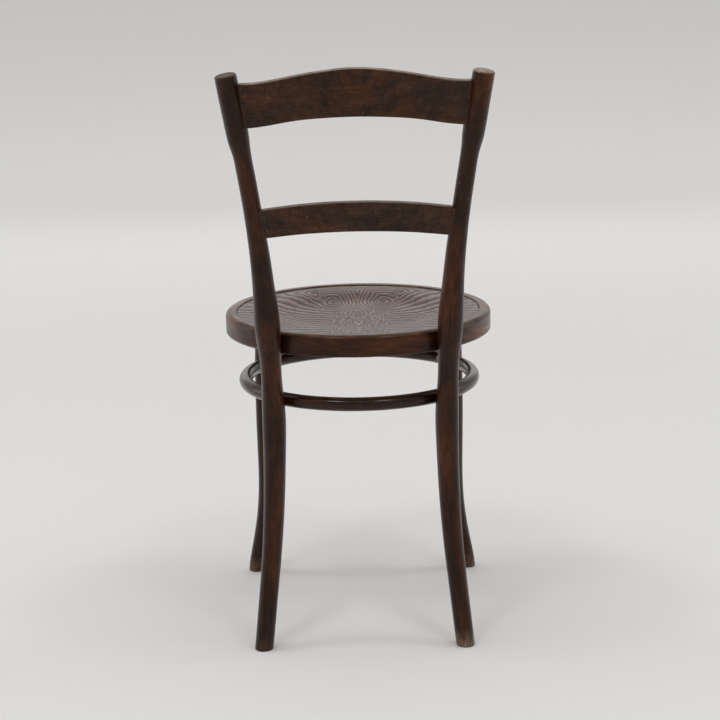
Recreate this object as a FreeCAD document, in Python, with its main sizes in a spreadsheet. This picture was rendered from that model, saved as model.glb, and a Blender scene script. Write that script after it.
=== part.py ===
import FreeCAD, Part
import math
import os
import Sketcher
from FreeCAD import Placement, Rotation, Vector

# Bentwood bistro chair, in millimetres.
# The chair faces -Y, its back stands at +Y, +X is the sitter's left, the floor is z = 0.
# Every piece is drawn about the seat's centre and then set back by seat_y, which
# puts the middle of the whole chair over the origin.

doc = FreeCAD.newDocument("bentwood_bistro_chair")
sheet = doc.addObject("Spreadsheet::Sheet", "sizes")

SIZES = {
    "seat_y": -36.0,
    "fit_gap": 0.3,
    # Seat frame
    "frame_outer": 201.0,
    "frame_inner": 167.0,
    "frame_top": 472.0,
    "frame_bottom": 440.0,
    "rebate_inner": 184.0,
    "ledge_top": 465.5,
    # Seat panel
    "panel_outer": 183.6,
    "panel_thick": 4.8,
    "panel_dish": 9.0,
    # Hoop under the seat
    "hoop_centre": 173.4,
    "hoop_rod": 10.2,
    "hoop_height": 365.0,
    # Crest rail
    "crest_bow": 34.0,
    "crest_half": 160.0,
    "crest_thick": 14.0,
    "crest_height": 803.0,
    "crest_lean": 8.6,
    # Lower back rail
    "lower_bow": 28.0,
    "lower_half": 144.0,
    "lower_thick": 13.0,
    "lower_height": 640.0,
    "lower_lean": 8.0,
    # Joints
    "tenon_thick": 8.0,
    "peg_across": 18.0,
    "peg_long": 19.0,
    "screw_height": 453.0,
}

# Rear leg, left side: height, distance from the middle, distance behind the
# seat's centre, and thickness of the turned rod.
REAR_LEG = [
    (0.0, 149.0, 193.5, 27.0),
    (28.0, 145.9, 189.5, 27.5),
    (82.0, 140.1, 180.0, 27.7),
    (145.0, 133.8, 168.5, 29.0),
    (217.0, 129.1, 158.5, 31.2),
    (297.0, 126.5, 153.5, 33.4),
    (351.0, 126.3, 153.8, 34.3),
    (400.0, 127.7, 161.0, 30.4),
    (436.0, 128.5, 168.8, 31.6),
    (466.0, 130.0, 175.6, 35.8),
    (500.0, 131.6, 181.6, 36.0),
    (541.0, 134.2, 187.5, 31.8),
    (576.0, 136.9, 192.0, 29.4),
    (612.0, 140.6, 196.5, 27.5),
    (652.0, 145.6, 201.9, 25.9),
    (690.0, 150.9, 207.2, 25.5),
    (713.0, 154.3, 210.5, 25.3),
    (732.0, 157.3, 213.2, 25.6),
    (741.0, 158.9, 214.5, 27.0),
    (750.0, 160.6, 215.9, 29.3),
    (760.0, 162.2, 217.3, 30.9),
    (774.0, 164.4, 219.3, 31.5),
    (802.0, 168.9, 223.5, 31.5),
    (816.5, 171.4, 225.7, 31.3),
    (831.0, 173.9, 227.9, 30.9),
    (845.5, 176.3, 230.1, 30.3),
]

# Front leg, left side, in the same order.
FRONT_LEG = [
    (0.0, 174.5, -157.5, 25.0),
    (22.0, 171.6, -152.0, 25.0),
    (45.0, 167.1, -146.8, 25.2),
    (80.0, 160.4, -139.5, 25.8),
    (120.0, 154.8, -133.0, 26.4),
    (170.0, 151.8, -128.5, 27.2),
    (240.0, 152.0, -126.3, 28.0),
    (310.0, 152.2, -126.0, 28.0),
    (365.0, 151.6, -125.2, 27.4),
    (405.0, 150.4, -118.6, 26.8),
    (440.0, 149.4, -111.5, 26.6),
]

# Upper and lower edge of each rail, from the middle towards one end.
CREST_TOP = [(0, 57.5), (40, 54.2), (84, 45.6), (128, 35.0), (170, 30.2)]
CREST_BOTTOM = [(0, -8.5), (43, -10.3), (87, -16.0), (126, -25.2), (170, -31.5)]
LOWER_TOP = [(0, 33.6), (45, 31.8), (89, 26.2), (131, 17.5), (152, 12.6)]
LOWER_BOTTOM = [(0, -8.4), (45, -10.1), (89, -15.2), (123, -21.7), (152, -27.4)]


def fill_sheet():
    row = 1
    for name, value in SIZES.items():
        sheet.set("A%d" % row, name)
        sheet.set("B%d" % row, repr(float(value)))
        sheet.setAlias("B%d" % row, name)
        row += 1
    for leg, stations in (("rear", REAR_LEG), ("front", FRONT_LEG)):
        for index, station in enumerate(stations):
            for word, value in zip(("rise", "side", "back", "across"), station):
                name = "%s_%s_%d" % (leg, word, index)
                sheet.set("A%d" % row, name)
                sheet.set("B%d" % row, repr(float(value)))
                sheet.setAlias("B%d" % row, name)
                row += 1
    doc.recompute()


fill_sheet()


def size(name):
    return float(sheet.get(name))


def new_body(name):
    return doc.addObject("PartDesign::Body", name)


def plane_of(body, role):
    for feature in body.Origin.OriginFeatures:
        if feature.Role == role:
            return feature
    raise ValueError(role)


def new_sketch(body, role, name, offset=None):
    sketch = body.newObject("Sketcher::SketchObject", name)
    sketch.AttachmentSupport = [(plane_of(body, role), "")]
    sketch.MapMode = "FlatFace"
    if offset is not None:
        sketch.AttachmentOffset = offset
    return sketch


def bind_point(sketch, geometry, end, across, up):
    """Ties one end of a line to two expressions, measured from the origin."""
    place = sketch.getPoint(geometry, end)
    for kind, text, value in (("DistanceX", across, place.x), ("DistanceY", up, place.y)):
        index = sketch.addConstraint(Sketcher.Constraint(kind, -1, 1, geometry, end, value))
        sketch.setExpression("Constraints[%d]" % index, text)


def outline(sketch, corners):
    """Closed outline; each corner is (across, up) given as sheet expressions."""
    def value(text):
        names = {name: size(name) for name in SIZES}
        result = text.replace("sizes.", "")
        for name in sorted(names, key=len, reverse=True):
            result = result.replace(name, repr(names[name]))
        total = 0.0
        for term in result.replace("- ", "+ -").split("+ "):
            total += float(term.replace(" ", ""))
        return total

    points = [Vector(value(a), value(b), 0) for a, b in corners]
    count = len(points)
    for index in range(count):
        sketch.addGeometry(Part.LineSegment(points[index], points[(index + 1) % count]), False)
    for index in range(count):
        after = (index + 1) % count
        sketch.addConstraint(Sketcher.Constraint("Coincident", index, 2, after, 1))
    for index, (across, up) in enumerate(corners):
        bind_point(sketch, index, 1, across, up)


def full_turn(body, sketch, name):
    turn = body.newObject("PartDesign::Revolution", name)
    turn.Profile = sketch
    turn.ReferenceAxis = (sketch, ["V_Axis"])
    turn.Angle = 360.0
    return turn


def edges_where(shape, test):
    return ["Edge%d" % (i + 1) for i, edge in enumerate(shape.Edges) if test(edge)]


def soften(body, base, kind, name, amount, test):
    """Adds a fillet or a chamfer on every edge that passes the test."""
    doc.recompute()
    picked = edges_where(base.Shape, test)
    feature = body.newObject("PartDesign::" + kind, name)
    feature.Base = (base, picked)
    if kind == "Fillet":
        feature.Radius = amount
    else:
        feature.Size = amount
    return feature


def ring_edge(radius, height):
    def test(edge):
        curve = edge.Curve
        if not isinstance(curve, Part.Circle):
            return False
        return abs(curve.Radius - radius) < 0.01 and abs(curve.Center.z - height) < 0.01
    return test


def cylinder(name, radius, height, placement):
    tool = doc.addObject("Part::Cylinder", name)
    tool.Radius = radius
    tool.Height = height
    tool.Placement = placement
    return tool


def cone(name, start, end, height, placement):
    tool = doc.addObject("Part::Cone", name)
    tool.Radius1 = start
    tool.Radius2 = end
    tool.Height = height
    tool.Placement = placement
    return tool


def box(name, low, high, placement):
    tool = doc.addObject("Part::Box", name)
    tool.Length = high[0] - low[0]
    tool.Width = high[1] - low[1]
    tool.Height = high[2] - low[2]
    tool.Placement = placement.multiply(Placement(Vector(*low), Rotation()))
    return tool


def fuse(name, pieces):
    joined = doc.addObject("Part::MultiFuse", name)
    joined.Shapes = pieces
    return joined


def cut(name, base, tools):
    tool = tools[0] if len(tools) == 1 else fuse(name + "_cutters", tools)
    result = doc.addObject("Part::Cut", name)
    result.Base = base
    result.Tool = tool
    return result


def mirror(name, source):
    """The same piece for the other side of the chair."""
    result = doc.addObject("Part::Mirroring", name)
    result.Source = source
    result.Base = Vector(0, 0, 0)
    result.Normal = Vector(1, 0, 0)
    return result


def group(name, pieces):
    result = doc.addObject("Part::Compound", name)
    result.Links = pieces
    return result


FINAL = []


def finish(piece, label, other_side=None):
    """Names a finished piece and sets it back to its place over the origin."""
    piece.Label = label
    piece.setExpression("Placement.Base.y", "sizes.seat_y")
    FINAL.append(piece)
    if other_side:
        twin = mirror(other_side + "_piece", piece)
        twin.Label = other_side
        FINAL.append(twin)


def outward(side, x, y, height, start):
    """A place on the level ray from the seat's axis through (x, y), aimed outward."""
    heading = Vector(side * x, y, 0).normalize()
    return Placement(heading * start + Vector(0, 0, height), Rotation(Vector(0, 0, 1), heading))


# Seat frame: a bent ring with a rebate for the panel
def seat_frame_blank():
    body = new_body("seat_frame_blank")
    sketch = new_sketch(body, "XZ_Plane", "frame_section")
    outline(sketch, [
        ("sizes.frame_inner", "sizes.frame_bottom"),
        ("sizes.frame_outer", "sizes.frame_bottom"),
        ("sizes.frame_outer", "sizes.frame_top"),
        ("sizes.rebate_inner", "sizes.frame_top"),
        ("sizes.rebate_inner", "sizes.ledge_top"),
        ("sizes.frame_inner", "sizes.ledge_top"),
    ])
    last = full_turn(body, sketch, "frame_ring")
    outer, inner = size("frame_outer"), size("frame_inner")
    top, bottom = size("frame_top"), size("frame_bottom")
    rebate = size("rebate_inner")
    last = soften(body, last, "Fillet", "frame_top_round", 7.0, ring_edge(outer, top))
    last = soften(body, last, "Fillet", "frame_bottom_round", 4.0, ring_edge(outer, bottom))
    last = soften(body, last, "Fillet", "frame_lip_round", 2.0, ring_edge(rebate, top))
    last = soften(body, last, "Fillet", "frame_inner_round", 2.0, ring_edge(inner, bottom))
    return body


# Seat panel: a dished veneer disc with a flat margin that lies on the ledge
def seat_panel_blank():
    body = new_body("seat_panel_blank")
    sketch = new_sketch(body, "XZ_Plane", "panel_section")
    outer = size("panel_outer")
    under = size("ledge_top")
    thick = size("panel_thick")
    dish = size("panel_dish")
    margin = 158.0

    def dished(height):
        curve = Part.BSplineCurve()
        curve.buildFromPoles([
            Vector(margin, height, 0),
            Vector(130, height, 0),
            Vector(112, height - dish, 0),
            Vector(60, height - dish, 0),
            Vector(0, height - dish, 0),
        ])
        return curve

    over = under + thick
    sketch.addGeometry(Part.LineSegment(Vector(margin, under, 0), Vector(outer, under, 0)), False)
    sketch.addGeometry(Part.LineSegment(Vector(outer, under, 0), Vector(outer, over, 0)), False)
    sketch.addGeometry(Part.LineSegment(Vector(outer, over, 0), Vector(margin, over, 0)), False)
    sketch.addGeometry(dished(over), False)
    middle = Part.LineSegment(Vector(0, over - dish, 0), Vector(0, under - dish, 0))
    sketch.addGeometry(middle, False)
    sketch.addGeometry(dished(under), False)
    for first, end, second, start in ((0, 2, 1, 1), (1, 2, 2, 1), (2, 2, 3, 1), (3, 2, 4, 1),
                                      (4, 2, 5, 2), (5, 1, 0, 1)):
        sketch.addConstraint(Sketcher.Constraint("Coincident", first, end, second, start))
    bind_point(sketch, 1, 1, "sizes.panel_outer", "sizes.ledge_top")
    bind_point(sketch, 2, 1, "sizes.panel_outer", "sizes.ledge_top + sizes.panel_thick")
    last = full_turn(body, sketch, "panel_disc")
    return body, last


# Hoop: a bent round rod
def leg_hoop_blank():
    body = new_body("leg_hoop_blank")
    sketch = new_sketch(body, "XZ_Plane", "hoop_section")
    centre = Vector(size("hoop_centre"), size("hoop_height"), 0)
    sketch.addGeometry(Part.Circle(centre, Vector(0, 0, 1), size("hoop_rod")), False)
    bind_point(sketch, 0, 3, "sizes.hoop_centre", "sizes.hoop_height")
    index = sketch.addConstraint(Sketcher.Constraint("Radius", 0, size("hoop_rod")))
    sketch.setExpression("Constraints[%d]" % index, "sizes.hoop_rod")
    full_turn(body, sketch, "hoop_ring")
    return body


# Legs: turned rods, drawn as round sections along their bent centre line
def leg_blank(name, leg, stations, level_top, swell=0.0):
    body = new_body(name)
    points = [Vector(x, y, z) for z, x, y, _ in stations]
    last = len(points) - 1
    sections = []
    for index, point in enumerate(points):
        before = points[max(index - 1, 0)]
        after = points[min(index + 1, last)]
        heading = after - before
        if index == 0 or (index == last and level_top):
            heading = Vector(0, 0, 1)
        offset = Placement(point, Rotation(Vector(0, 0, 1), heading))
        sketch = new_sketch(body, "XY_Plane", "%s_section_%d" % (name, index), offset)
        for axis, word in (("x", "side"), ("y", "back"), ("z", "rise")):
            text = "sizes.%s_%s_%d" % (leg, word, index)
            sketch.setExpression("AttachmentOffset.Base." + axis, text)
        across = stations[index][3] + 2 * swell
        sketch.addGeometry(Part.Circle(Vector(0, 0, 0), Vector(0, 0, 1), across / 2), False)
        sketch.addConstraint(Sketcher.Constraint("Coincident", 0, 3, -1, 1))
        bound = sketch.addConstraint(Sketcher.Constraint("Diameter", 0, across))
        text = "sizes.%s_across_%d + %g" % (leg, index, 2 * swell)
        sketch.setExpression("Constraints[%d]" % bound, text)
        sections.append(sketch)
    loft = body.newObject("PartDesign::AdditiveLoft", name + "_rod")
    loft.Profile = sections[0]
    loft.Sections = sections[1:]
    loft.Ruled = False
    return body


def end_ring(name, point, heading, across, bevel):
    """Takes the sharp edge off a round end: what lies outside a short cone."""
    spare = 1.2
    start = Placement(point - heading * (bevel + spare), Rotation(Vector(0, 0, 1), heading))
    block = cylinder(name + "_block", across, bevel + spare + 2.0, start)
    core = cone(name + "_core", across / 2 + spare, across / 2 - bevel, bevel + spare, start)
    return cut(name, block, [core])


def rail_place(kind):
    """Where a rail sits: between the posts, leaning back with them."""
    stations = REAR_LEG
    height = size(kind + "_height")
    for low, high in zip(stations, stations[1:]):
        if low[0] <= height <= high[0]:
            share = (height - low[0]) / (high[0] - low[0])
            back = low[2] + share * (high[2] - low[2])
    return Placement(Vector(0, back, height), Rotation(Vector(1, 0, 0), -size(kind + "_lean")))


# Rails: a bent strip, cut to its upper and lower edge
def rail_blank(name, kind, top, bottom):
    body = new_body(name)
    body.Placement = rail_place(kind)
    bow, half, thick = size(kind + "_bow"), size(kind + "_half"), size(kind + "_thick")
    radius = (half * half + bow * bow) / (2 * bow)
    centre = Vector(0, bow - radius, 0)
    reach = math.asin((half + 3.0) / radius)
    low, high = math.pi / 2 - reach, math.pi / 2 + reach
    strip = new_sketch(body, "XY_Plane", name + "_bend", Placement(Vector(0, 0, -70), Rotation()))
    arcs = []
    for offset in (thick / 2, -thick / 2):
        circle = Part.Circle(centre, Vector(0, 0, 1), radius + offset)
        arcs.append(Part.ArcOfCircle(circle, low, high))
    strip.addGeometry(arcs[0], False)
    strip.addGeometry(arcs[1], False)
    strip.addGeometry(Part.LineSegment(arcs[0].StartPoint, arcs[1].StartPoint), False)
    strip.addGeometry(Part.LineSegment(arcs[0].EndPoint, arcs[1].EndPoint), False)
    for first, start, second, end in ((0, 1, 2, 1), (1, 1, 2, 2), (0, 2, 3, 1), (1, 2, 3, 2)):
        strip.addConstraint(Sketcher.Constraint("Coincident", first, start, second, end))
    strip.addConstraint(Sketcher.Constraint("Coincident", 0, 3, 1, 3))
    strip.addConstraint(Sketcher.Constraint("PointOnObject", 0, 3, -2))
    bend = "((sizes.%s_half ^ 2 + sizes.%s_bow ^ 2) / (2 * sizes.%s_bow))" % (kind, kind, kind)
    for arc, sign in ((0, "+"), (1, "-")):
        index = strip.addConstraint(Sketcher.Constraint("Radius", arc, arcs[arc].Radius))
        text = "%s %s sizes.%s_thick / 2" % (bend, sign, kind)
        strip.setExpression("Constraints[%d]" % index, text)
    slat = body.newObject("PartDesign::Pad", name + "_strip")
    slat.Profile = strip
    slat.Length = 150.0
    doc.recompute()

    waste = new_sketch(body, "XZ_Plane", name + "_edges", Placement(Vector(0, 0, -150), Rotation()))
    for edge, far in ((top, 120.0), (bottom, -120.0)):
        mirrored = [(-x, y) for x, y in reversed(edge[1:])] + list(edge)
        curve = Part.BSplineCurve()
        curve.interpolate([Vector(x, y, 0) for x, y in mirrored])
        first = waste.GeometryCount
        (x0, y0), (x1, y1) = mirrored[0], mirrored[-1]
        waste.addGeometry(curve, False)
        waste.addGeometry(Part.LineSegment(Vector(x1, y1, 0), Vector(x1, far, 0)), False)
        waste.addGeometry(Part.LineSegment(Vector(x1, far, 0), Vector(x0, far, 0)), False)
        waste.addGeometry(Part.LineSegment(Vector(x0, far, 0), Vector(x0, y0, 0)), False)
        for a, ea, b, eb in ((0, 2, 1, 1), (1, 2, 2, 1), (2, 2, 3, 1), (3, 2, 0, 1)):
            waste.addConstraint(Sketcher.Constraint("Coincident", first + a, ea, first + b, eb))
    before = slat.Shape.Volume
    trim = body.newObject("PartDesign::Pocket", name + "_trim")
    trim.Profile = waste
    trim.Length = 400.0
    doc.recompute()
    if trim.Shape.isNull() or trim.Shape.Volume > before * 0.95:
        trim.Reversed = True
        doc.recompute()

    def long_edge(edge):
        return edge.Length > 150.0

    soften(body, trim, "Fillet", name + "_soft_edges", 2.2, long_edge)
    doc.recompute()
    return body


frame_body = seat_frame_blank()
panel_body, panel_disc = seat_panel_blank()
hoop_body = leg_hoop_blank()

SIDES = (("left", 1), ("right", -1))
rear_body = leg_blank("rear_rod", "rear", REAR_LEG, False)
rear_cover = leg_blank("rear_cover", "rear", REAR_LEG, False, size("fit_gap"))
covers = [rear_cover, mirror("rear_cover_twin", rear_cover)]
front_body = leg_blank("front_rod", "front", FRONT_LEG, True)
peg_z, peg_x, peg_y, _ = FRONT_LEG[-1]
peg = new_sketch(front_body, "XY_Plane", "peg", Placement(Vector(peg_x, peg_y, peg_z), Rotation()))
peg.addGeometry(Part.Circle(Vector(0, 0, 0), Vector(0, 0, 1), size("peg_across") / 2), False)
peg.addConstraint(Sketcher.Constraint("Coincident", 0, 3, -1, 1))
peg.addConstraint(Sketcher.Constraint("Diameter", 0, size("peg_across")))
peg.setExpression("Constraints[1]", "sizes.peg_across")
peg_pad = front_body.newObject("PartDesign::Pad", "peg_pad")
peg_pad.Profile = peg
peg_pad.Length = size("peg_long")
peg_pad.setExpression("Length", "sizes.peg_long")
doc.recompute()

crest_body = rail_blank("crest_strip", "crest", CREST_TOP, CREST_BOTTOM)
lower_body = rail_blank("lower_strip", "lower", LOWER_TOP, LOWER_BOTTOM)

# Tenons on the rails' ends, their mortises in the posts and the pins across them
RAILS = (
    ("crest", crest_body, "crest_rail", 141.0, 168.0, 4.2, -19.0, 20.0, 158.5),
    ("lower", lower_body, "lower_back_rail", 124.0, 148.0, 4.0, -15.0, 9.0, 139.5),
)
post_cutters = []
pins = []
for kind, body, label, start, end, mid, low, high, pin_x in RAILS:
    place = rail_place(kind)
    tenons, pin_holes = [], []
    half = size("tenon_thick") / 2
    for word, side in SIDES:
        near, far = sorted((side * start, side * end))
        tenons.append(box("%s_tenon_%s" % (kind, word), (near, mid - half, low),
                          (far, mid + half, high), place))
        spot = place.multiply(Placement(Vector(side * pin_x, -11.5, 0), Rotation(Vector(1, 0, 0), -90)))
        pins.append(cylinder("%s_pin_%s" % (kind, word), 1.25, 21.5, spot))
        bore_spot = place.multiply(
            Placement(Vector(side * pin_x, -22, 0), Rotation(Vector(1, 0, 0), -90)))
        bore = cylinder("%s_pin_bore_%s" % (kind, word), 1.3, 32.5, bore_spot)
        pin_holes.append(bore)
    play = 0.15
    post_cutters.append(pin_holes[0])
    post_cutters.append(box(
        kind + "_mortise", (start, mid - half - play, low - play),
        (end + 1.0, mid + half + play, high + play), place))
    coped = body
    for cover in covers:
        coped = cut(cover.Name + "_against_" + kind, coped, [cover])
    joined = fuse(kind + "_with_tenons", [coped] + tenons)
    finish(cut(kind + "_rail_piece", joined, pin_holes), label)

# Screws, washers and brads, with the holes they need
frame_cutters, hoop_cutters, panel_cutters = [], [], []
screws, washers, hoop_screws, brads = [], [], [], []
frame_inner, frame_outer = size("frame_inner"), size("frame_outer")
screw_z = size("screw_height")
hoop_z = size("hoop_height")
hoop_r = size("hoop_centre")
rod_r = size("hoop_rod")
front_cutters = []

for word, side in SIDES:
    x, y = 129.4, 172.6
    washer_out = frame_inner - 0.3
    disc = cylinder("washer_disc_" + word, 9.0, 1.6, outward(side, x, y, screw_z, washer_out - 1.6))
    eye = cylinder("washer_eye_" + word, 4.2, 4.0, outward(side, x, y, screw_z, washer_out - 3.0))
    washers.append(cut("washer_" + word, disc, [eye]))
    head = doc.addObject("Part::Prism", "coach_head_" + word)
    head.Polygon = 6
    head.Circumradius = 7.5
    head.Height = 5.3
    head.Placement = outward(side, x, y, screw_z, washer_out - 1.6 - 5.3)
    shank = cylinder("coach_shank_" + word, 4.0, 56.0,
                     outward(side, x, y, screw_z, washer_out - 1.6 - 0.5))
    screws.append(fuse("coach_screw_" + word, [head, shank]))
    frame_cutters.append(cylinder("frame_bore_" + word, 4.3, 40.0,
                                  outward(side, x, y, screw_z, frame_inner - 3.0)))
    if word == "left":
        post_cutters.append(cylinder("leg_bore", 4.05, 26.5,
                                     outward(side, x, y, screw_z, frame_outer - 4.0)))

    for place_word, x, y, store in (
        ("rear", 126.4, 154.4, post_cutters),
        ("front", 151.6, -125.2, front_cutters),
    ):
        tag = place_word + "_" + word
        inside = hoop_r - rod_r + 0.2
        head = cone("hoop_head_" + tag, 4.4, 2.0, 3.2, outward(side, x, y, hoop_z, inside))
        shank = cylinder("hoop_shank_" + tag, 2.0, 38.0, outward(side, x, y, hoop_z, inside + 0.5))
        slot = box("hoop_slot_" + tag, (-0.6, -5.0, -0.2), (0.6, 5.0, 1.1),
                   outward(side, x, y, hoop_z, inside))
        hoop_screws.append(cut("hoop_screw_" + tag, fuse("hoop_nail_" + tag, [head, shank]), [slot]))
        hoop_cutters.append(cone("hoop_sink_" + tag, 5.75, 2.2, 4.7,
                                 outward(side, x, y, hoop_z, inside - 1.3)))
        hoop_cutters.append(cylinder("hoop_bore_" + tag, 2.1, 24.0,
                                     outward(side, x, y, hoop_z, inside)))
        if word == "left":
            store.append(cylinder("screw_bore_" + place_word, 2.05, 28.0,
                                  outward(side, x, y, hoop_z, inside + 11.5)))

    hole = Placement(Vector(side * peg_x, peg_y, peg_z - 2.0), Rotation())
    frame_cutters.append(cylinder("peg_hole_" + word, size("peg_across") / 2 + 0.15,
                                  size("peg_long") + 3.0, hole))

BRADS = 8
for index in range(BRADS):
    angle = math.radians(22.5 + 360.0 * index / BRADS)
    x, y = 175.8 * math.cos(angle), 175.8 * math.sin(angle)
    over = size("ledge_top") + size("panel_thick")
    long = 19.0
    spot = Placement(Vector(x, y, over - 0.3 - long), Rotation())
    brads.append(cylinder("brad_%d" % index, 0.8, long, spot))
    spot = Placement(Vector(x, y, over - 0.3 - long - 0.5), Rotation())
    hole = cylinder("brad_hole_%d" % index, 0.85, long + 4.0, spot)
    frame_cutters.append(hole)
    panel_cutters.append(hole)

# Beds that let the legs sit snugly against the hoop and the frame
hoop_bed = doc.addObject("Part::Torus", "hoop_bed")
hoop_bed.Radius1 = hoop_r
hoop_bed.Radius2 = rod_r + 0.15
hoop_bed.Placement = Placement(Vector(0, 0, hoop_z), Rotation())
frame_bed = cylinder("frame_bed", frame_outer + 0.15, 34.0,
                     Placement(Vector(0, 0, size("frame_bottom") - 1.0), Rotation()))

def end_rings(leg, stations):
    z, x, y, across = stations[0]
    rings = [end_ring(leg + "_foot", Vector(x, y, z), Vector(0, 0, -1), across, 1.5)]
    if leg == "rear":
        z, x, y, across = stations[-1]
        _, x0, y0, _ = stations[-2]
        heading = Vector(x - x0, y - y0, z - stations[-2][0]).normalize()
        rings.append(end_ring(leg + "_top", Vector(x, y, z), heading, across, 1.6))
    return rings


rear_tools = [hoop_bed, frame_bed] + post_cutters + end_rings("rear", REAR_LEG)
finish(cut("rear_leg_piece", rear_body, rear_tools), "rear_leg_left", "rear_leg_right")
front_tools = [hoop_bed] + front_cutters + end_rings("front", FRONT_LEG)
finish(cut("front_leg_piece", front_body, front_tools), "front_leg_left", "front_leg_right")

finish(cut("seat_frame_piece", frame_body, frame_cutters), "seat_frame")
finish(cut("seat_panel_piece", panel_body, panel_cutters), "seat_panel")
finish(cut("leg_hoop_piece", hoop_body, hoop_cutters), "leg_hoop")
finish(group("rear_leg_screw_pair", screws), "rear_leg_screws")
finish(group("rear_leg_washer_pair", washers), "rear_leg_washers")
finish(group("hoop_screw_set", hoop_screws), "hoop_screws")
finish(group("rail_pin_set", pins), "rail_pins")
finish(group("seat_panel_brad_set", brads), "seat_panel_brads")
doc.recompute()

# Check every object before writing anything
for item in doc.Objects:
    if "Invalid" in item.State or "Error" in item.State:
        raise RuntimeError("%s did not rebuild: %s" % (item.Label, item.State))
os.makedirs("parts", exist_ok=True)
for piece in FINAL:
    shape = piece.Shape
    if shape.isNull() or not shape.isValid() or not shape.Solids:
        raise RuntimeError(piece.Label + " is not a valid solid")
    shape.exportStep("parts/%s.step" % piece.Label)
    bounds = shape.BoundBox
    print("%-18s solids %d volume %.0f x %.1f..%.1f y %.1f..%.1f z %.1f..%.1f" % (
        piece.Label, len(shape.Solids), shape.Volume, bounds.XMin, bounds.XMax,
        bounds.YMin, bounds.YMax, bounds.ZMin, bounds.ZMax))
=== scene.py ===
import math

import bpy
import numpy as np
from mathutils import Matrix


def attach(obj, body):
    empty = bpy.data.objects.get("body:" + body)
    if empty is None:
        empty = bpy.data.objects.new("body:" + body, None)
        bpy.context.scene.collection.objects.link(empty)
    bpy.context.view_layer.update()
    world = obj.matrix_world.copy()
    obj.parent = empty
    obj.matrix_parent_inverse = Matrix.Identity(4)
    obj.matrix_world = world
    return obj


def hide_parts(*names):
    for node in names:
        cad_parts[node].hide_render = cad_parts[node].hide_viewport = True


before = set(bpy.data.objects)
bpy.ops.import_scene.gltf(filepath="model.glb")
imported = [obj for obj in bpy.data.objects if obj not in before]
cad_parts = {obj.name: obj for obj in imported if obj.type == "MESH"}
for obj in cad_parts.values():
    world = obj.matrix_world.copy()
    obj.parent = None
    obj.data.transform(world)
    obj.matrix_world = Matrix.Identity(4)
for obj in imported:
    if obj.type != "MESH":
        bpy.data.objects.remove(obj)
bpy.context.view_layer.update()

# All in millimetres. The rings and the seat's pattern turn about a point a little in front of the origin
SEAT_MIDDLE_Y = -36.0
# Where the rear legs pass the rings: to each side of the middle, and behind the origin
LEG_AT_RINGS = (129.0, 157.0)
# Height of the rear legs' sawn upper ends
POST_TOP = 852.0


def linear(code):
    """Turns an sRGB hex colour into the linear values that a shader takes."""
    parts = [int(code[i:i + 2], 16) / 255.0 for i in (1, 3, 5)]
    return [p / 12.92 if p <= 0.04045 else ((p + 0.055) / 1.055) ** 2.4 for p in parts] + [1.0]


def add(tree, kind, inputs=None, **settings):
    """Adds one node, sets its options and gives its inputs their values or links."""
    node = tree.nodes.new(kind)
    for key, value in settings.items():
        setattr(node, key, value)
    for key, value in (inputs or {}).items():
        if isinstance(value, bpy.types.NodeSocket):
            tree.links.new(value, node.inputs[key])
        else:
            node.inputs[key].default_value = value
    return node


def new_material(name):
    """An empty material with its shader and output joined."""
    material = bpy.data.materials.new(name)
    material.use_nodes = True
    tree = material.node_tree
    tree.nodes.clear()
    shader = add(tree, "ShaderNodeBsdfPrincipled")
    add(tree, "ShaderNodeOutputMaterial", {"Surface": shader.outputs["BSDF"]})
    return material, tree, shader


def millimetres(tree):
    """The point's place on the chair in millimetres, whole and as three numbers."""
    place = add(tree, "ShaderNodeTexCoord").outputs["Object"]
    scaled = add(tree, "ShaderNodeVectorMath", {0: place, 1: (1000, 1000, 1000)}, operation="MULTIPLY")
    split = add(tree, "ShaderNodeSeparateXYZ", {0: scaled.outputs[0]})
    return scaled.outputs[0], split.outputs


# Ways that the wood's fibres run. Each gives a point with its third number along the fibres.
def along_a_leg(bend_x, bend_y, waist):
    """Fibres follow the steamed rod: the point less its bend, which grows with the square of
    the height above or below the waist."""
    def way(tree):
        _, (x, y, z) = millimetres(tree)
        side = add(tree, "ShaderNodeMath", {0: x}, operation="ABSOLUTE").outputs[0]
        rise = add(tree, "ShaderNodeMath", {0: z, 1: waist}, operation="SUBTRACT").outputs[0]
        square = add(tree, "ShaderNodeMath", {0: rise, 1: rise}, operation="MULTIPLY").outputs[0]
        across = add(tree, "ShaderNodeMath", {0: square, 1: -bend_x, 2: side}, operation="MULTIPLY_ADD")
        behind = add(tree, "ShaderNodeMath", {0: square, 1: -bend_y, 2: y}, operation="MULTIPLY_ADD")
        return add(tree, "ShaderNodeCombineXYZ",
                   {0: across.outputs[0], 1: behind.outputs[0], 2: z}).outputs[0]
    return way


def along_a_rail(tree):
    """Fibres run from post to post."""
    _, (x, y, z) = millimetres(tree)
    return add(tree, "ShaderNodeCombineXYZ", {0: y, 1: z, 2: x}).outputs[0]


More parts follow.
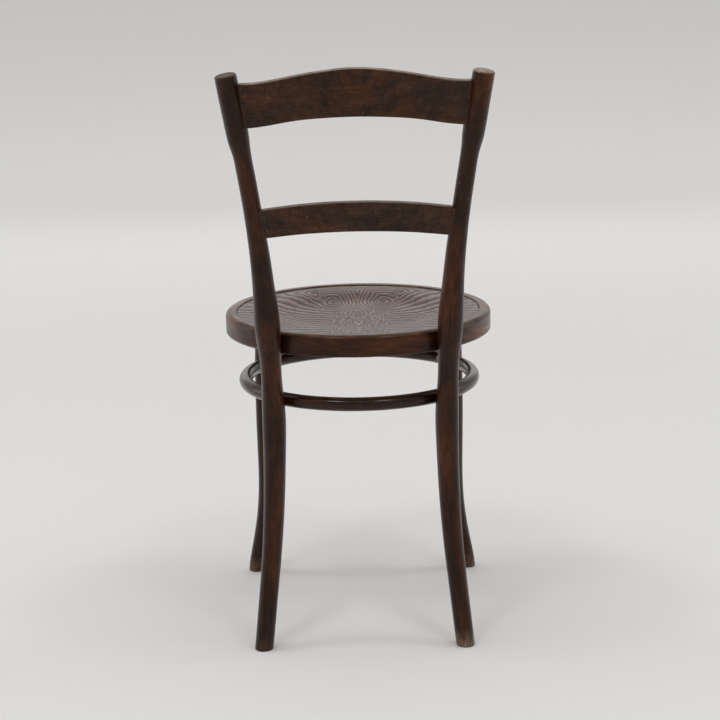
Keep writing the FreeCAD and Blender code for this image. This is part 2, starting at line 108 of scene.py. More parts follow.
def round_a_ring(seam, slope, radius):
    """Fibres run round the ring: distance from the middle, height, and arc length counted from
    the scarf joint, whose slanting cut moves the count by slope for each millimetre of height."""
    def way(tree):
        _, (x, y, z) = millimetres(tree)
        behind = add(tree, "ShaderNodeMath", {0: y, 1: SEAT_MIDDLE_Y}, operation="SUBTRACT").outputs[0]
        angle = add(tree, "ShaderNodeMath", {0: behind, 1: x}, operation="ARCTAN2").outputs[0]
        slant = add(tree, "ShaderNodeMath", {0: z, 1: slope, 2: angle}, operation="MULTIPLY_ADD").outputs[0]
        turned = add(tree, "ShaderNodeMath", {0: slant, 1: -seam}, operation="ADD").outputs[0]
        wrapped = add(tree, "ShaderNodeMath",
                      {0: turned, 1: math.pi, 2: -math.pi}, operation="WRAP").outputs[0]
        flat = add(tree, "ShaderNodeCombineXYZ", {0: x, 1: behind, 2: 0.0}).outputs[0]
        out = add(tree, "ShaderNodeVectorMath", {0: flat}, operation="LENGTH").outputs["Value"]
        arc = add(tree, "ShaderNodeMath", {0: wrapped, 1: radius}, operation="MULTIPLY").outputs[0]
        return add(tree, "ShaderNodeCombineXYZ", {0: out, 1: z, 2: arc}).outputs[0]
    return way


# Places where handling and floors have worn the finish; on the top edges and the right post's end the pale
# colour is partly painted highlight. Each gives 0 for sound and 1 for fully pale.
def facing_up(tree, low, high):
    """1 where the surface looks up, as the end of a post or the top edge of a rail does."""
    normal = add(tree, "ShaderNodeNewGeometry").outputs["Normal"]
    up = add(tree, "ShaderNodeSeparateXYZ", {0: normal}).outputs[2]
    return add(tree, "ShaderNodeMapRange", {"Value": up, 1: low, 2: high}).outputs[0]


def worn_foot(tree, patches):
    """Scuffed a little, in patches, within about 25 mm of the floor."""
    _, (_, _, z) = millimetres(tree)
    foot = add(tree, "ShaderNodeMapRange", {"Value": z, 1: 28.0, 2: 2.0, 3: 0.0, 4: 0.42}).outputs[0]
    return add(tree, "ShaderNodeMath", {0: foot, 1: patches}, operation="MULTIPLY").outputs[0]


def post_wear_and_sheen(tree, patches):
    """Scuffed at the foot, and rubbed pale in patches on the sawn end at the top; on the right post that pale
    end is partly a painted sheen.
    """
    _, (_, _, z) = millimetres(tree)
    high = add(tree, "ShaderNodeMapRange", {"Value": z, 1: POST_TOP - 12, 2: POST_TOP - 8}).outputs[0]
    end = add(tree, "ShaderNodeMath", {0: facing_up(tree, 0.45, 0.8), 1: high}, operation="MULTIPLY")
    wear_and_sheen = add(tree, "ShaderNodeMath", {0: end.outputs[0], 1: patches}, operation="MULTIPLY").outputs[0]
    scuffed = worn_foot(tree, patches)
    return add(tree, "ShaderNodeMath", {0: scuffed, 1: wear_and_sheen}, operation="MAXIMUM").outputs[0]


def wear_and_painted_highlight(low, high, most):
    """Paler along the edge that looks up, more in some places than in others: partly rubbed by hands, partly
    a painted highlight from the lamps above.
    """
    def wear_and_highlight_mask(tree, patches):
        edge = facing_up(tree, low, high)
        rubbed = add(tree, "ShaderNodeMath", {0: edge, 1: patches}, operation="MULTIPLY").outputs[0]
        return add(tree, "ShaderNodeMath", {0: rubbed, 1: most}, operation="MULTIPLY").outputs[0]
    return wear_and_highlight_mask


def flame_figure(tree, ground, seed, strength):
    """The figure of a slat sawn across the rays: waves about 18 mm wide that lean away from near
    the middle, lighter and darker than the stain around them, and upright ray flecks."""
    _, (x, _, z) = millimetres(tree)
    side = add(tree, "ShaderNodeMath", {0: x, 1: 4.0}, operation="ADD").outputs[0]
    half = add(tree, "ShaderNodeMath", {0: side}, operation="ABSOLUTE").outputs[0]
    leaning = add(tree, "ShaderNodeMath", {0: z, 1: -0.45, 2: half}, operation="MULTIPLY_ADD").outputs[0]
    flame_at = add(tree, "ShaderNodeCombineXYZ", {0: leaning, 1: z, 2: side}).outputs[0]
    flame_size = add(tree, "ShaderNodeMapping", {"Vector": flame_at, "Location": (seed, seed, seed),
                                                 "Scale": (1 / 18, 1 / 34, 1 / 70)}).outputs[0]
    flame = add(tree, "ShaderNodeTexNoise", {"Vector": flame_size, "Scale": 1.0, "Detail": 3.0,
                                             "Roughness": 0.6, "Distortion": 0.5}).outputs[0]
    light = add(tree, "ShaderNodeMapRange", {"Value": flame, 1: 0.47, 2: 0.62}).outputs[0]
    shade = add(tree, "ShaderNodeMapRange", {"Value": flame, 1: 0.46, 2: 0.36}).outputs[0]
    near = add(tree, "ShaderNodeMapRange",
               {"Value": half, 1: 125.0, 2: 30.0, 3: 0.15, 4: strength}).outputs[0]
    light_part = add(tree, "ShaderNodeMath", {0: light, 1: near}, operation="MULTIPLY").outputs[0]
    shade_part = add(tree, "ShaderNodeMath", {0: shade, 1: near}, operation="MULTIPLY").outputs[0]

    # Ray flecks, about 2 mm wide and 15 mm high
    fleck_at = add(tree, "ShaderNodeMapping", {"Vector": millimetres(tree)[0],
                                               "Scale": (1 / 2.2, 1 / 8, 1 / 15)}).outputs[0]
    fleck = add(tree, "ShaderNodeTexNoise", {"Vector": fleck_at, "Scale": 1.0, "Detail": 2.0}).outputs[0]
    flecks = add(tree, "ShaderNodeMapRange", {"Value": fleck, 1: 0.3, 2: 0.7, 3: 0.62, 4: 1.42}).outputs[0]
    flecked = add(tree, "ShaderNodeVectorMath", {0: ground, "Scale": flecks}, operation="SCALE").outputs[0]
    lit = add(tree, "ShaderNodeMix",
              {0: light_part, 6: flecked, 7: linear("#46270f")}, data_type="RGBA").outputs[2]
    return add(tree, "ShaderNodeMix",
               {0: shade_part, 6: lit, 7: linear("#0e0704")}, data_type="RGBA").outputs[2]


def painted_shade_beside_legs(tree, ground, strength):
    """Painted shade beside each rear leg, standing in for the leg's contact shadow on the rings: darkest 16
    mm and gone 62 mm off the middle of the leg.
    """
    _, (x, y, _) = millimetres(tree)
    side = add(tree, "ShaderNodeMath", {0: x}, operation="ABSOLUTE").outputs[0]
    on_plan = add(tree, "ShaderNodeCombineXYZ", {0: side, 1: y}).outputs[0]
    gap = add(tree, "ShaderNodeVectorMath", {0: on_plan, 1: (*LEG_AT_RINGS, 0)}, operation="DISTANCE")
    shade_amount = add(tree, "ShaderNodeMapRange",
                   {"Value": gap.outputs["Value"], 1: 16.0, 2: 62.0, 3: strength, 4: 0.0},
                   interpolation_type="SMOOTHSTEP").outputs[0]
    # The near black colour is the painted shade
    return add(tree, "ShaderNodeMix",
               {0: shade_amount, 6: ground, 7: linear("#0c0705")}, data_type="RGBA").outputs[2]


def pale_nicks(tree, moved, ground, wear_and_sheen_colour):
    """Pale nicks about 2 mm across, one in ten of cells 9 mm wide and 14 mm long."""
    nick_at = add(tree, "ShaderNodeMapping", {"Vector": moved, "Scale": (1 / 9, 1 / 9, 1 / 14)}).outputs[0]
    nick = add(tree, "ShaderNodeTexVoronoi", {"Vector": nick_at, "Scale": 1.0})
    chipped = add(tree, "ShaderNodeMapRange",
                  {"Value": nick.outputs["Distance"], 1: 0.11, 2: 0.05, 4: 0.4}).outputs[0]
    chance = add(tree, "ShaderNodeSeparateColor", {0: nick.outputs["Color"]}).outputs[0]
    few = add(tree, "ShaderNodeMath", {0: chance, 1: 0.9}, operation="GREATER_THAN").outputs[0]
    nicks = add(tree, "ShaderNodeMath", {0: chipped, 1: few}, operation="MULTIPLY").outputs[0]
    return add(tree, "ShaderNodeMix",
               {0: nicks, 6: ground, 7: linear(wear_and_sheen_colour)}, data_type="RGBA").outputs[2]


def worked_surface(tree, moved, streak):
    """The fibres stand less than 0.1 mm proud, and the surface waves by up to about half a
    millimetre in 16 mm across and 38 mm along, from spokeshave and sanding."""
    fibre = add(tree, "ShaderNodeBump", {"Height": streak, "Distance": 0.00012, "Strength": 0.5}).outputs[0]
    wave_at = add(tree, "ShaderNodeMapping", {"Vector": moved, "Scale": (1 / 16, 1 / 16, 1 / 38)}).outputs[0]
    wave = add(tree, "ShaderNodeTexNoise", {"Vector": wave_at, "Scale": 1.0, "Detail": 2.0}).outputs[0]
    return add(tree, "ShaderNodeBump", {"Height": wave, "Distance": 0.0009, "Strength": 0.5,
                                        "Normal": fibre}).outputs[0]


def stained_beech(name, seed, way, wear_and_highlight_mask, dark="#170a05", brown="#2d170b", glow="#50280f",
                  wear_and_sheen_colour="#8f7560", figure=0.0, painted_leg_shade=0.0, gloss=0.26, satin=(0.3, 0.46)):
    """Steamed beech, stained dark brown and French polished, then used for a hundred years.
    The stain is uneven, so it goes from near black to red brown in patches as long as a hand;
    fine streaks follow the fibres; the shellac gives a thin clear gloss over a duller ground."""
    material, tree, shader = new_material(name)
    moved = add(tree, "ShaderNodeVectorMath", {0: way(tree), 1: (seed * 37.0, seed * 91.0, seed * 53.0)},
                operation="ADD").outputs[0]

    # Uneven stain, in patches about 30 mm across and 110 mm along the fibres
    stain_at = add(tree, "ShaderNodeMapping",
                   {"Vector": moved, "Scale": (1 / 30, 1 / 30, 1 / 110)}).outputs[0]
    stain = add(tree, "ShaderNodeTexNoise",
                {"Vector": stain_at, "Scale": 1.0, "Detail": 6.0, "Roughness": 0.7}).outputs[0]
    depth = add(tree, "ShaderNodeMapRange", {"Value": stain, 1: 0.34, 2: 0.66}).outputs[0]

    # Streaks of the fibres, drawn 2 mm wide and 34 mm long because real ones are too fine to show
    streak_at = add(tree, "ShaderNodeMapping", {"Vector": moved, "Scale": (1 / 2, 1 / 2, 1 / 34)}).outputs[0]
    streak = add(tree, "ShaderNodeTexNoise",
                 {"Vector": streak_at, "Scale": 1.0, "Detail": 3.0, "Roughness": 0.6}).outputs[0]

    # Clouds of darker polish, about 9 mm across and 24 mm along the fibres
    cloud_at = add(tree, "ShaderNodeMapping", {"Vector": moved, "Scale": (1 / 9, 1 / 9, 1 / 24)}).outputs[0]
    cloud = add(tree, "ShaderNodeTexNoise",
                {"Vector": cloud_at, "Scale": 1.0, "Detail": 5.0, "Roughness": 0.65}).outputs[0]

    # Red-brown glow where the stain is thin, about 46 mm across and 150 mm along the fibres
    glow_at = add(tree, "ShaderNodeMapping", {"Vector": moved, "Location": (13, 7, 5),
                                              "Scale": (1 / 46, 1 / 46, 1 / 150)}).outputs[0]
    thin = add(tree, "ShaderNodeTexNoise",
               {"Vector": glow_at, "Scale": 1.0, "Detail": 3.0, "Distortion": 0.6}).outputs[0]
    thin_part = add(tree, "ShaderNodeMapRange", {"Value": thin, 1: 0.5, 2: 0.72, 4: 0.75}).outputs[0]
    ground = add(tree, "ShaderNodeMix",
                 {0: depth, 6: linear(dark), 7: linear(brown)}, data_type="RGBA").outputs[2]
    lit = add(tree, "ShaderNodeMix",
              {0: thin_part, 6: ground, 7: linear(glow)}, data_type="RGBA").outputs[2]
    if figure:
        lit = flame_figure(tree, lit, seed, figure)
    # Painted shade near the rear legs, standing in for their contact shadow
    if painted_leg_shade:
        lit = painted_shade_beside_legs(tree, lit, painted_leg_shade)

    fibres = add(tree, "ShaderNodeMapRange", {"Value": streak, 1: 0.3, 2: 0.7, 3: 0.5, 4: 1.48}).outputs[0]
    clouds = add(tree, "ShaderNodeMapRange", {"Value": cloud, 1: 0.34, 2: 0.66, 3: 0.62, 4: 1.24}).outputs[0]
    tone = add(tree, "ShaderNodeMath", {0: fibres, 1: clouds}, operation="MULTIPLY").outputs[0]
    grained = add(tree, "ShaderNodeVectorMath", {0: lit, "Scale": tone}, operation="SCALE").outputs[0]

    # Wear and painted highlight, broken up by patches about 7 mm wide and 16 mm long
    patch_at = add(tree, "ShaderNodeMapping", {"Vector": moved, "Scale": (1 / 7, 1 / 7, 1 / 16)}).outputs[0]
    patch = add(tree, "ShaderNodeTexNoise",
                {"Vector": patch_at, "Scale": 1.0, "Detail": 4.0, "Roughness": 0.65}).outputs[0]
    patches = add(tree, "ShaderNodeMapRange", {"Value": patch, 1: 0.36, 2: 0.6, 3: 0.25}).outputs[0]
    wear_and_sheen = wear_and_highlight_mask(tree, patches)
    wear_and_sheen_wood = add(tree, "ShaderNodeVectorMath",
                    {0: linear(wear_and_sheen_colour)[:3], "Scale": tone}, operation="SCALE").outputs[0]
    colour = add(tree, "ShaderNodeMix", {0: wear_and_sheen, 6: grained, 7: wear_and_sheen_wood}, data_type="RGBA").outputs[2]
    tree.links.new(pale_nicks(tree, moved, colour, wear_and_sheen_colour), shader.inputs["Base Color"])

    # Polish: satin where whole, dull where rubbed
    hand = add(tree, "ShaderNodeTexNoise", {"Vector": stain_at, "Scale": 2.3, "Detail": 3.0}).outputs[0]
    rough = add(tree, "ShaderNodeMapRange",
                {"Value": hand, 1: 0.3, 2: 0.7, 3: satin[0], 4: satin[1]}).outputs[0]
    dull = add(tree, "ShaderNodeMix", {0: wear_and_sheen, 2: rough, 3: 0.66}, data_type="FLOAT").outputs[0]
    tree.links.new(dull, shader.inputs["Roughness"])
    tree.links.new(worked_surface(tree, moved, streak), shader.inputs["Normal"])

    # Old shellac has browned, so it tints what it mirrors, except at a glancing view
    shader.inputs["IOR"].default_value = 1.5
    shader.inputs["Specular Tint"].default_value = linear("#957259")
    shader.inputs["Coat Weight"].default_value = gloss
    shader.inputs["Coat Roughness"].default_value = 0.1
    shader.inputs["Coat IOR"].default_value = 1.5
    return material


def pressed_beech_veneer():
    """Beech plywood pressed hot in an engraved mould, stained and polished. The figure attribute
    counts the pattern's ridges, so its fraction tells ridge from valley: stain stays dark in the
    valleys, and seats have rubbed the ridges to a grey, reddish brown."""
    material, tree, shader = new_material("pressed_beech_veneer")
    place, _ = millimetres(tree)
    count = add(tree, "ShaderNodeAttribute", attribute_name="figure").outputs["Fac"]
    strength = add(tree, "ShaderNodeAttribute", attribute_name="pressed").outputs["Fac"]

    # Each ridge, and three fine lines in the width of one
    turn = add(tree, "ShaderNodeMath", {0: count, 1: math.tau}, operation="MULTIPLY").outputs[0]
    ridge = add(tree, "ShaderNodeMath", {0: turn}, operation="COSINE").outputs[0]
    ridge_part = add(tree, "ShaderNodeMapRange", {"Value": ridge, 1: -0.85, 2: 0.35}).outputs[0]
    fine_turn = add(tree, "ShaderNodeMath", {0: count, 1: 3 * math.tau}, operation="MULTIPLY").outputs[0]
    fine = add(tree, "ShaderNodeMath", {0: fine_turn}, operation="COSINE").outputs[0]
    fine_line = add(tree, "ShaderNodeMapRange", {"Value": fine, 1: -1.0, 2: 0.2, 3: 0.66, 4: 1.06}).outputs[0]

    # Clouds of stain, 38 by 60 mm, and pores, drawn 2.2 mm wide because real ones are too fine to show
    cloud_at = add(tree, "ShaderNodeMapping",
                   {"Vector": place, "Scale": (1 / 38, 1 / 60, 1 / 60)}).outputs[0]
    cloud = add(tree, "ShaderNodeTexNoise",
                {"Vector": cloud_at, "Scale": 1.0, "Detail": 5.0, "Roughness": 0.6}).outputs[0]
    speck_at = add(tree, "ShaderNodeMapping",
                   {"Vector": place, "Scale": (1 / 2.2, 1 / 2.2, 1 / 2.2)}).outputs[0]
    speck = add(tree, "ShaderNodeTexNoise", {"Vector": speck_at, "Scale": 1.0, "Detail": 2.0}).outputs[0]
    cloudy = add(tree, "ShaderNodeMapRange", {"Value": cloud, 1: 0.35, 2: 0.65}).outputs[0]

    # Valleys, ridges, and the plain wood of the margin
    low = add(tree, "ShaderNodeMix",
              {0: cloudy, 6: linear("#1c110b"), 7: linear("#2a1a11")}, data_type="RGBA").outputs[2]
    high = add(tree, "ShaderNodeMix",
               {0: cloudy, 6: linear("#573529"), 7: linear("#704735")}, data_type="RGBA").outputs[2]
    plain = add(tree, "ShaderNodeMix",
                {0: cloudy, 6: linear("#38231a"), 7: linear("#4a2f25")}, data_type="RGBA").outputs[2]
    lines = add(tree, "ShaderNodeMix", {0: ridge_part, 6: low, 7: high}, data_type="RGBA").outputs[2]
    lines = add(tree, "ShaderNodeVectorMath", {0: lines, "Scale": fine_line}, operation="SCALE").outputs[0]
    mixed = add(tree, "ShaderNodeMix", {0: strength, 6: plain, 7: lines}, data_type="RGBA").outputs[2]
    tone = add(tree, "ShaderNodeMapRange", {"Value": speck, 1: 0.3, 2: 0.7, 3: 0.82, 4: 1.18}).outputs[0]
    colour = add(tree, "ShaderNodeVectorMath", {0: mixed, "Scale": tone}, operation="SCALE").outputs[0]
    tree.links.new(colour, shader.inputs["Base Color"])

    # Ridges are rubbed smoother than valleys, and the fine lines and pores stand under 0.1 mm proud
    rubbed = add(tree, "ShaderNodeMapRange", {"Value": ridge_part, 3: 0.54, 4: 0.34}).outputs[0]
    tree.links.new(rubbed, shader.inputs["Roughness"])
    fine_height = add(tree, "ShaderNodeMath", {0: fine, 1: strength}, operation="MULTIPLY").outputs[0]
    both = add(tree, "ShaderNodeMath",
               {0: speck, 1: 0.8, 2: fine_height}, operation="MULTIPLY_ADD").outputs[0]
    bump = add(tree, "ShaderNodeBump", {"Height": both, "Distance": 0.00006, "Strength": 0.6}).outputs[0]
    tree.links.new(bump, shader.inputs["Normal"])
    shader.inputs["IOR"].default_value = 1.5
    shader.inputs["Coat Weight"].default_value = 0.2
    shader.inputs["Coat Roughness"].default_value = 0.2
    return material


def dulled_steel(name, colour):
    """Drawn and turned steel that has dulled indoors: grey, with faint brown specks about 1 mm
    wide and a soft shine."""
    material, tree, shader = new_material(name)
    place, _ = millimetres(tree)
    tarnish = add(tree, "ShaderNodeTexNoise",
                  {"Vector": place, "Scale": 0.9, "Detail": 4.0, "Roughness": 0.7}).outputs[0]
    spots = add(tree, "ShaderNodeMapRange", {"Value": tarnish, 1: 0.45, 2: 0.7}).outputs[0]
    mixed = add(tree, "ShaderNodeMix",
                {0: spots, 6: linear(colour), 7: linear("#5a4433")}, data_type="RGBA").outputs[2]
    rough = add(tree, "ShaderNodeMapRange", {"Value": spots, 3: 0.34, 4: 0.6}).outputs[0]
    tree.links.new(mixed, shader.inputs["Base Color"])
    tree.links.new(rough, shader.inputs["Roughness"])
    shader.inputs["Metallic"].default_value = 1.0
    return material


def build_mesh(name, points, faces, material):
    """Puts worked-out points and faces into a new, smoothly shaded object at the origin."""
    mesh = bpy.data.meshes.new(name)
    mesh.from_pydata(points.tolist(), [], faces)
    mesh.materials.append(material)
    mesh.update()
    mesh.polygons.foreach_set("use_smooth", np.full(len(mesh.polygons), True))
    piece = bpy.data.objects.new(name, mesh)
    bpy.context.scene.collection.objects.link(piece)
    return piece


# The pressed seat panel, in millimetres: its rim, the height of its level margin, the radius at
# which the margin ends, the depth of the dish, and how deep the valleys of the pattern are pressed
PANEL_RADIUS = 183.6
PANEL_TOP = 470.3
PANEL_THICK = 4.8
PANEL_MARGIN = 158.0
PANEL_DISH = 9.0
PRESS_DEPTH = 0.55
# Points along each side of the panel's grid, few enough to keep it under 200,000 triangles
PANEL_POINTS = 288


def dish_depth(radius):
    """How far the panel's face lies below its margin at each distance from the middle: two
    cubic curves joined smoothly, level at the margin and level in the middle."""
    slope_from, slope_to, floor_edge = 130.0, 112.0, 60.0
    middle = (slope_from + slope_to) / 2, -PANEL_DISH / 2
    outer_end = (slope_to + floor_edge) / 2, -PANEL_DISH
    join = (middle[0] + outer_end[0]) / 2, (middle[1] + outer_end[1]) / 2
    first = [(PANEL_MARGIN, 0.0), (slope_from, 0.0), middle, join]
    second = [join, outer_end, (floor_edge, -PANEL_DISH), (0.0, -PANEL_DISH)]
    t = np.linspace(0, 1, 80)
    weights = np.stack([(1 - t) ** 3, 3 * t * (1 - t) ** 2, 3 * t ** 2 * (1 - t), t ** 3], 1)
    curve = np.concatenate([weights @ np.array(first), weights @ np.array(second)])
    order = np.argsort(curve[:, 0])
    return np.interp(radius, curve[order, 0], curve[order, 1])


def eased(value):
    """0 below 0 and 1 above 1, with a soft start and end between them."""
    part = np.clip(value, 0, 1)
    return part * part * (3 - 2 * part)


def ridges_within(level):
    """How many ridges lie between the eye and a place this far behind it, in millimetres: one in
    15.5 mm and 1.6 more crowded round 24 mm. In front of the eye, below zero, one in 11.5 mm."""
    behind = np.maximum(level, 0.0)
    return behind / 15.5 + 0.8 * (np.tanh((behind - 24) / 26) + 0.7273) + np.minimum(level, 0.0) / 11.5


def ridge_count(x, y):
    """How many ridges lie between a point and the eye of its half of the figure, and how strong
    the pressing is. The two halves mirror each other, as a sawn and opened block does, and slow
    sine waves bend every line. Near the eye the count is a round distance. Outwards it becomes a
    fan of long lines: a line that starts straight behind the eye climbs forward with the distance
    from there, by 1.7 near the eye and by 0.16 far behind it. The start of the line through a
    point is found by halving. Between the halves a column of upright zigzag lines stands behind
    the eyes."""
    side = np.abs(x)
    half = 0.9 * np.tanh(x / 30)
    slow = (1.4 * np.sin(side / 21 + 0.03 * y + 0.6 + half)
            + 1.0 * np.sin((0.7 * side - 1.3 * y) / 15 + 1.0 + half)
            + 0.7 * np.sin((1.7 * side + 0.6 * y) / 9.1 - half)
            + 0.6 * np.sin((1.1 * side - 0.9 * y) / 5.3 + half))
    down = y + 90.0 + 0.8 * slow
    below, above = np.maximum(down, 0.0), np.maximum(-down, 0.0)
    out = side - 37.0 - 0.09 * below + 0.8 * slow
    outer = np.maximum(out, 0.0)

    level = np.where(out > 0, out / 8.0, -out / 5.4)
    upright = np.where(down > 0, ridges_within(below), above / (8.5 + 3.0 * eased(above / 40)))
    rings = np.hypot(level, upright)

    climb = np.sqrt(outer ** 2 + 100) - 10
    low, high = down, down + 2 * climb
    for _ in range(20):
        start = (low + high) / 2
        slope = 0.16 + 1.7 / (1 + np.exp((start - 43) / 21))
        short = start - slope * climb < down
        low, high = np.where(short, start, low), np.where(short, high, start)
    fan = np.abs(ridges_within(start)) + 0.1 * np.maximum(above - 34 - 0.1 * outer, 0.0)
    to_fan = np.maximum(eased((outer - 14 - 0.1 * above) / 16), eased((down - 12) / 30) * eased(outer / 12))
    ragged = 0.055 * np.sin(side / 2.4 + 2.2 * np.sin(y / 8.3 + half) + 1.7 * np.sin(side / 11 - y / 17))
    halves = rings * (1 - to_fan) + fan * to_fan + ragged

    zigzag = np.abs((y / 19 + side / 31 + 0.25 * np.sin(y / 11) + 0.1 * half) % 2 - 1)
    column = (side / 6.4 + 1.1 * zigzag + 0.22 * np.sin(y / 3.1 + side / 2.6)
              + 0.25 * np.sin(y / 7.7 - side / 5))
    column_edge = 44 + 3 * np.sin(y / 9 + 1) + 2 * np.sin(y / 3.7 + half) - side
    column_top = y + 30 - 0.25 * side - 4 * np.sin(side / 6)
    inside = np.minimum(column_edge, column_top)
    return np.where(inside > 0, column, halves), np.clip(np.abs(inside) / 1.8, 0, 1)


def seat_panel_piece(material):
    """The dished panel with its raised lines. A square grid is pressed into a disc, each corner
    moving in to the rim (x times the root of one less half of y squared, and the other way
    round). The height is the dish less the depth of the valleys, a cosine of the ridge count,
    fading out at the margin. The edge and a plain underside close it."""
    step = np.linspace(-1, 1, PANEL_POINTS)
    u, v = np.meshgrid(step, step, indexing="ij")
    x = PANEL_RADIUS * u * np.sqrt(1 - v ** 2 / 2)
    y = PANEL_RADIUS * v * np.sqrt(1 - u ** 2 / 2)
    radius = np.hypot(x, y)
    count, seam = ridge_count(x, y)

    # The pressing fades out at the rim, behind the column, and in a small plain oval between the eyes
    edge = np.clip((172.0 - radius) / 10.0, 0, 1)
    back = eased((150.0 - y) / 60.0)
    oval = np.clip((np.hypot(x / 9, (y + 48) / 26) - 0.7) / 0.5, 0, 1)
    pressed = edge * back * oval * seam
    valley = (1 - np.cos(math.tau * count)) / 2
    z = PANEL_TOP + dish_depth(radius) - PRESS_DEPTH * pressed * valley
    top = np.stack([x, y, z], -1).reshape(-1, 3)
    index = np.arange(len(top)).reshape(PANEL_POINTS, PANEL_POINTS)
    a, b = index[:-1, :-1].ravel(), index[1:, :-1].ravel()
    c, d = index[1:, 1:].ravel(), index[:-1, 1:].ravel()
    faces = np.stack([a, b, c, d], 1).tolist()

    # The rim drops to the underside, whose rings close in on the middle
    rim = np.concatenate([index[:, 0], index[-1, 1:], index[-2::-1, -1], index[0, -2:0:-1]])
    loops, base = [rim], len(top)
    points = [top]
    for share in (1.0, 0.86, 0.79, 0.72, 0.65, 0.58, 0.5, 0.4, 0.2):
        ring = top[rim].copy()
        ring[:, :2] *= share
        ring[:, 2] = PANEL_TOP - PANEL_THICK + dish_depth(np.full(len(rim), PANEL_RADIUS * share))
        points.append(ring)
        loops.append(base + np.arange(len(rim)))
        base += len(rim)
    for outer, inner in zip(loops[:-1], loops[1:]):
        faces += np.stack([outer, inner, np.roll(inner, -1), np.roll(outer, -1)], 1).tolist()
    points.append(np.array([[0.0, 0.0, PANEL_TOP - PANEL_THICK - PANEL_DISH]]))
    last = loops[-1]
    faces += np.stack([last, np.full(len(last), base), np.roll(last, -1)], 1).tolist()

    everything = np.concatenate(points)
    everything[:, 1] += SEAT_MIDDLE_Y
    piece = build_mesh("pressed_seat_panel", everything / 1000.0, faces, material)
    spare = len(everything) - len(top)
    for title, values in (("figure", count), ("pressed", pressed)):
        layer = piece.data.attributes.new(title, "FLOAT", "POINT")
        layer.data.foreach_set("value", np.concatenate([values.ravel(), np.zeros(spare)]))
    return piece


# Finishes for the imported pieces. The legs' bends are in millimetres for each square millimetre
# of height from the waist. The seat ring's slanted joint lies 62 degrees round from its left side
# to the front, and the hoop's lies 28 degrees round
rear_way = along_a_leg(0.00019, 0.00032, 320.0)
front_way = along_a_leg(0.00022, 0.00030, 270.0)
ring_scarf = math.radians(-62)
finishes = {
    "rear_leg_left": stained_beech("polished_beech_rear_leg_left", 1.3, rear_way, post_wear_and_sheen,
                                   wear_and_sheen_colour="#5a4436"),
    # The right post's pale end colour is partly worn end grain, partly painted sheen
    "rear_leg_right": stained_beech("polished_beech_rear_leg_right", 2.9, rear_way, post_wear_and_sheen,
                                    wear_and_sheen_colour="#b09c8c"),
    "front_leg_left": stained_beech("polished_beech_front_leg_left", 4.1, front_way, worn_foot),
    "front_leg_right": stained_beech("polished_beech_front_leg_right", 5.7, front_way, worn_foot),
    # The rails', seat ring's and hoop's pale top edges are partly wear, partly painted highlight from the
    # lamps above
    "crest_rail": stained_beech("polished_beech_crest_rail", 7.2, along_a_rail,
                                wear_and_painted_highlight(0.9, 0.99, 0.9), dark="#190e09", brown="#3a2419",
                                glow="#4a2a16", figure=0.75, wear_and_sheen_colour="#a88a6c"),
    "lower_back_rail": stained_beech("polished_beech_lower_rail", 8.6, along_a_rail,
                                     wear_and_painted_highlight(0.9, 0.99, 0.6), dark="#1c110b", brown="#3e2b20",
                                     glow="#4a2a16", figure=0.3, wear_and_sheen_colour="#9a7c62"),
    # The seat ring and the hoop are darkened near the rear legs by painted shade
    "seat_frame": stained_beech("polished_beech_seat_frame", 3.4, round_a_ring(ring_scarf, 0.011, 190.0),
                                wear_and_painted_highlight(0.35, 0.95, 0.3), dark="#180b05", brown="#43210d", glow="#7a421c",
                                painted_leg_shade=0.9),
    "leg_hoop": stained_beech("polished_beech_hoop", 6.5, round_a_ring(ring_scarf + 0.6, 0.02, 173.0),
                              wear_and_painted_highlight(0.7, 1.0, 0.3), painted_leg_shade=0.85, gloss=0.4, satin=(0.2, 0.34)),
}
steel = dulled_steel("dulled_zinc_plated_steel", "#8e8a84")
wire = dulled_steel("plain_steel_wire", "#77726c")
for node in ("rear_leg_screws", "rear_leg_washers", "hoop_screws"):
    finishes[node] = steel
for node in ("rail_pins", "seat_panel_brads"):
    finishes[node] = wire
for node, finish in finishes.items():
    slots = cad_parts[node].data.materials
    for number in range(max(1, len(slots))):
        if len(slots) > number:
            slots[number] = finish
        else:
            slots.append(finish)

panel = seat_panel_piece(pressed_beech_veneer())
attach(panel, "root")
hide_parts("seat_panel")


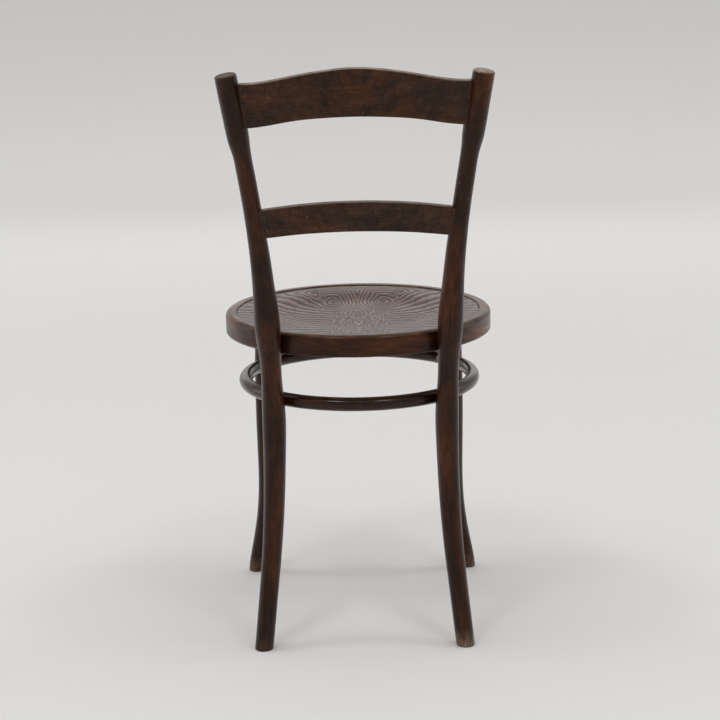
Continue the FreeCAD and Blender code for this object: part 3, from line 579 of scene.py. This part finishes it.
# Studio: a round paper sweep, lamps and the camera
def studio_sweep():
    """A floor that turns up into a round wall: a profile of distance and height, level to 4 m,
    then a quarter circle of 3 m, then upright, carried round the middle. The paper is painted paler
    further out on the floor, as painted light where the lamps' light falls off, and greyer again up
    the wall, as painted shade."""
    material, tree, shader = new_material("seamless_grey_paper")
    place = add(tree, "ShaderNodeTexCoord").outputs["Object"]
    on_plan = add(tree, "ShaderNodeVectorMath", {0: place, 1: (1, 1, 0)}, operation="MULTIPLY").outputs[0]
    out = add(tree, "ShaderNodeVectorMath", {0: on_plan}, operation="LENGTH").outputs["Value"]
    # Painted light: paler further out on the floor, where the lamps' light falls off
    far = add(tree, "ShaderNodeMapRange",
              {"Value": out, 1: 1.5, 2: 4.0}, interpolation_type="SMOOTHSTEP").outputs[0]
    # Painted shade: greyer up the wall
    wall = add(tree, "ShaderNodeMapRange",
               {"Value": out, 1: 4.6, 2: 6.2}, interpolation_type="SMOOTHSTEP").outputs[0]
    floor = add(tree, "ShaderNodeMix",
                {0: far, 6: linear("#e9e8e7"), 7: linear("#f8f7f6")}, data_type="RGBA").outputs[2]
    tint = add(tree, "ShaderNodeMix",
               {0: wall, 6: floor, 7: linear("#e6e5e4")}, data_type="RGBA").outputs[2]
    tree.links.new(tint, shader.inputs["Base Color"])
    shader.inputs["Roughness"].default_value = 0.9
    shader.inputs["Specular IOR Level"].default_value = 0.2

    around = 128
    bend = np.linspace(0, math.pi / 2, 25)
    distance = np.concatenate([[0.6, 1.5, 2.6, 3.4], 4 + 3 * np.sin(bend), [7.0]])
    height = np.concatenate([[0.0] * 4, 3 - 3 * np.cos(bend), [6.0]])
    turn = np.linspace(0, math.tau, around, endpoint=False)
    grid = np.stack([distance[:, None] * np.cos(turn), distance[:, None] * np.sin(turn),
                     np.repeat(height[:, None], around, 1)], -1).reshape(-1, 3)
    index = np.arange(len(grid)).reshape(len(distance), around)
    a, b = index[:-1], index[1:]
    faces = np.stack([a, b, np.roll(b, -1, 1), np.roll(a, -1, 1)], -1).reshape(-1, 4).tolist()
    middle = len(grid)
    points = np.concatenate([grid, [[0, 0, 0]]])
    faces += np.stack([np.full(around, middle), index[0], np.roll(index[0], -1)], 1).tolist()
    return build_mesh("studio_sweep", points, faces, material)


def lamp(name, place, target, width, height, power):
    """A soft box: a flat lamp turned to face its target. Places and sizes are in metres."""
    data = bpy.data.lights.new(name, "AREA")
    data.shape, data.size, data.size_y, data.energy = "RECTANGLE", width, height, power
    light = bpy.data.objects.new(name, data)
    light.visible_camera = False
    bpy.context.scene.collection.objects.link(light)
    away = np.array(place, float) - np.array(target, float)
    back = away / np.linalg.norm(away)
    side = np.cross((0, 0, 1) if abs(back[2]) < 0.99 else (0, 1, 0), back)
    side /= np.linalg.norm(side)
    over = np.cross(back, side)
    light.matrix_world = Matrix([[side[i], over[i], back[i], place[i]] for i in range(3)] + [[0, 0, 0, 1]])


studio_sweep()
# Two boxes high behind the chair and two overhead at its sides throw the soft shadows of the legs
# and the seat; two at the sides and one far in front light the edges
lamp("high_soft_box_left", (1.4, 2.2, 4.3), (0.0, 0.0, 0.4), 0.8, 0.8, 18)
lamp("high_soft_box_right", (-1.4, 2.2, 4.3), (0.0, 0.0, 0.4), 0.8, 0.8, 14)
lamp("overhead_soft_box_left", (2.6, 0.0, 4.2), (0.0, 0.0, 0.4), 0.9, 0.9, 20)
lamp("overhead_soft_box_right", (-2.6, 0.1, 4.2), (0.0, 0.0, 0.4), 0.9, 0.9, 17)
lamp("side_soft_box_left", (3.2, -1.2, 1.5), (0.0, 0.0, 0.5), 1.0, 2.0, 7.5)
lamp("side_soft_box_right", (-3.2, -1.0, 1.5), (0.0, 0.0, 0.5), 1.0, 2.0, 6)
lamp("far_soft_box", (0.0, -3.9, 1.3), (0.0, 0.0, 0.5), 4.0, 0.9, 6)

# Even light from all round, as a white room gives
world = bpy.data.worlds.new("studio_air")
bpy.context.scene.world = world
world.use_nodes = True
world.node_tree.nodes["Background"].inputs["Color"].default_value = (1, 1, 1, 1)
world.node_tree.nodes["Background"].inputs["Strength"].default_value = 0.71


def photo_camera():
    """The photograph's viewpoint: standing behind the chair, the eye 1.06 m up and 2.83 m back,
    looking down 13 degrees through a long lens. The numbers were fitted to the photo's edges."""
    sensor_width, picture_pixels, focal_pixels = 36.0, 720.0, 1920.9
    yaw, pitch, roll = 0.0063, 0.2308, -0.0184
    place = (0.01647, 2.8257, 1.0624)
    data = bpy.data.cameras.new("photo_camera")
    data.sensor_width = sensor_width
    data.lens = sensor_width * focal_pixels / picture_pixels
    data.clip_start, data.clip_end = 0.05, 60.0
    camera = bpy.data.objects.new("photo_camera", data)
    bpy.context.scene.collection.objects.link(camera)
    ahead = np.array([-math.sin(yaw), -math.cos(yaw), 0.0])
    right = np.array([-math.cos(yaw), math.sin(yaw), 0.0])
    up = np.array([0.0, 0.0, 1.0])
    look = ahead * math.cos(pitch) - up * math.sin(pitch)
    lifted = up * math.cos(pitch) + ahead * math.sin(pitch)
    side = right * math.cos(roll) + lifted * math.sin(roll)
    over = lifted * math.cos(roll) - right * math.sin(roll)
    camera.matrix_world = Matrix([[side[i], over[i], -look[i], place[i]] for i in range(3)] + [[0, 0, 0, 1]])
    return camera


bpy.context.scene.camera = photo_camera()
bpy.context.scene.view_settings.view_transform = "Standard"
